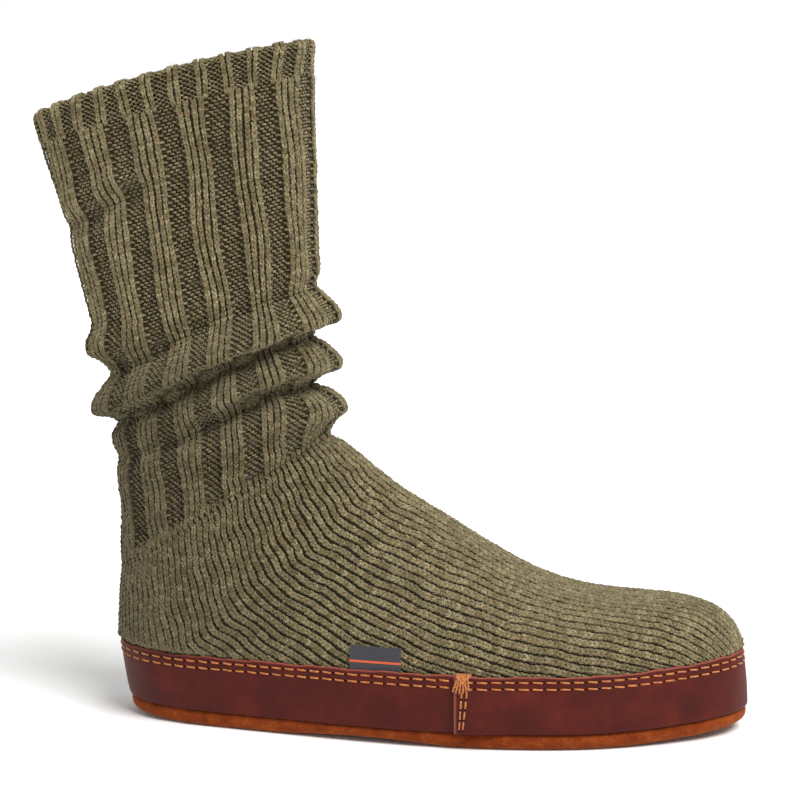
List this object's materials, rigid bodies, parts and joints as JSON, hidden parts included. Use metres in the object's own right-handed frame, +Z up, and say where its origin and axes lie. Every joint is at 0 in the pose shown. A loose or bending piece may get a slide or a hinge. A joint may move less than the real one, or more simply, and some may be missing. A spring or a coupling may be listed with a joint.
{
  "type": "slipper sock",
  "caption": "Mid-calf slouched wool slipper sock with a leather side band, a suede sole and a padded footbed, for the right foot.",
  "frame": {"origin": "middle of the flat under the heel, on the floor", "axes": "+X from heel to toe, +Y to the inner side of the foot, +Z up"},
  "size_m": [0.3281, 0.106, 0.3099],
  "materials": {
    "wool_knit": "heathered olive ragg wool, ribbed shaft and plain foot",
    "side_leather": "oxblood leather with a dull sheen and a raw top edge",
    "sole_suede": "rust suede with a nap",
    "footbed_felt": "grey felted wool over foam",
    "tag_tape": "slate woven tape"
  },
  "bodies": {
    "root": {"upper_knit": "wool_knit", "band_heel": "side_leather", "band_toe": "side_leather", "outsole": "sole_suede", "insole": "footbed_felt", "side_tag": "tag_tape"}
  },
  "joints": []
}
